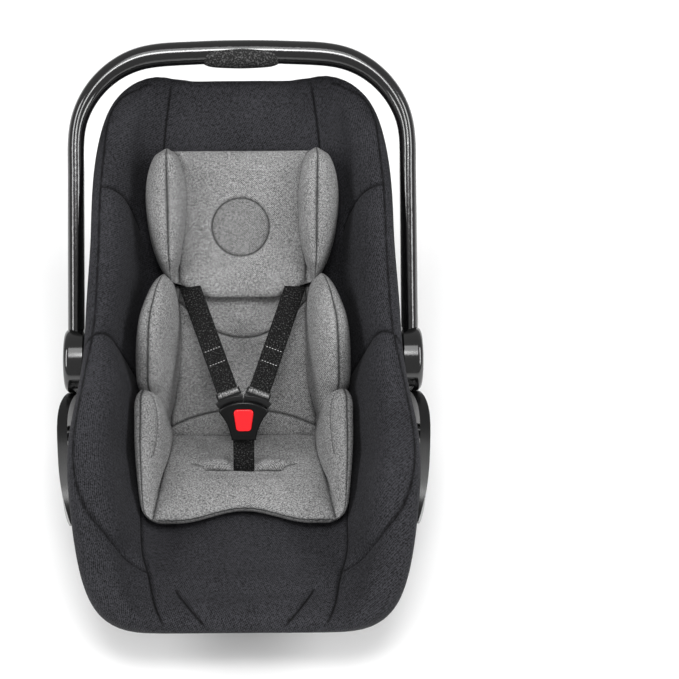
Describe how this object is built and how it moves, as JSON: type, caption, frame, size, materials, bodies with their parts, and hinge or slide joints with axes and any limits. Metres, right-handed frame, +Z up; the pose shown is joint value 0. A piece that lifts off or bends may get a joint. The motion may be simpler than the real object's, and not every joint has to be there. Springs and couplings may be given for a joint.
{
  "type": "infant car seat",
  "caption": "Rear-facing infant car seat: rocking tub shell with padded cover, newborn insert, three-point harness with red-button buckle, and a swinging carry handle.",
  "frame": {"origin": "on the floor, under the middle of the overall box", "axes": "+X to the right seen from the foot end, +Y from the foot end to the head end, +Z up"},
  "size_m": [0.435, 0.6391, 0.4183],
  "materials": {
    "shell_plastic": "fine-grained black moulding",
    "handle_plastic": "satin black moulding",
    "cover_fabric": "black twill over thin padding",
    "insert_fabric": "mid-grey air mesh over padding",
    "foam": "expanded foam liner",
    "webbing": "black woven webbing",
    "buckle_plastic": "black moulding",
    "button_red": "red moulding",
    "grip_rubber": "soft ribbed grip",
    "black_steel": "black-coated steel",
    "steel": "zinc-plated steel"
  },
  "bodies": {
    "carrier": {"shell": "shell_plastic", "foam_liner": "foam", "seat_cover": "cover_fabric", "insert_back_pad": "insert_fabric", "insert_head_pillow": "insert_fabric", "insert_seat_pad": "insert_fabric", "insert_head_wing_left": "insert_fabric", "insert_head_wing_right": "insert_fabric", "insert_back_wing_left": "insert_fabric", "insert_back_wing_right": "insert_fabric", "insert_seat_wing_left": "insert_fabric", "insert_seat_wing_right": "insert_fabric", "pivot_socket_left": "shell_plastic", "pivot_socket_right": "shell_plastic", "pivot_bolt_left": "steel", "pivot_bolt_right": "steel", "belt_lobe_left": "shell_plastic", "belt_lobe_right": "shell_plastic", "rear_belt_guide": "shell_plastic", "guide_screws": "steel", "strap_slide_left": "steel", "strap_slide_right": "steel", "shoulder_strap_left": "webbing", "shoulder_strap_right": "webbing", "crotch_anchor": "steel", "crotch_strap": "webbing", "buckle_front": "buckle_plastic", "buckle_rear": "buckle_plastic", "buckle_latch": "steel", "buckle_spring": "steel"},
    "handle": {"handle_tube": "handle_plastic", "grip_pad": "grip_rubber", "hub_housing_left": "handle_plastic", "hub_housing_right": "handle_plastic", "return_spring_left": "steel", "return_spring_right": "steel"},
    "release_left": {"release_button_left": "handle_plastic", "lock_gear_left": "buckle_plastic"},
    "release_right": {"release_button_right": "handle_plastic", "lock_gear_right": "buckle_plastic"},
    "buckle_press": {"buckle_button": "button_red"},
    "tongue_left": {"tongue_left": "black_steel"},
    "tongue_right": {"tongue_right": "black_steel"}
  },
  "joints": [
    {"name": "handle_swing", "type": "hinge", "parent": "carrier", "child": "handle", "pos_m": [0, 0.0082, 0.18], "axis": [1, 0, 0], "range_deg": [-63, 56]},
    {"name": "release_left_press", "type": "slide", "parent": "handle", "child": "release_left", "axis": [1, 0, 0], "range_m": [0, 0.0035], "stiffness_N_per_m": 900, "springref_m": -0.003, "deforming": ["return_spring_left"]},
    {"name": "release_right_press", "type": "slide", "parent": "handle", "child": "release_right", "axis": [-1, 0, 0], "range_m": [0, 0.0035], "stiffness_N_per_m": 900, "springref_m": -0.003, "deforming": ["return_spring_right"]},
    {"name": "buckle_button_press", "type": "slide", "parent": "carrier", "child": "buckle_press", "axis": [0, 0.8192, -0.5736], "range_m": [0, 0.003], "stiffness_N_per_m": 2500, "springref_m": -0.006, "deforming": ["buckle_spring"]},
    {"name": "tongue_left_pull", "type": "slide", "parent": "carrier", "child": "tongue_left", "axis": [0, 0.5736, 0.8192], "range_m": [0, 0.026], "deforming": ["shoulder_strap_left"]},
    {"name": "tongue_right_pull", "type": "slide", "parent": "carrier", "child": "tongue_right", "axis": [0, 0.5736, 0.8192], "range_m": [0, 0.026], "deforming": ["shoulder_strap_right"]}
  ]
}
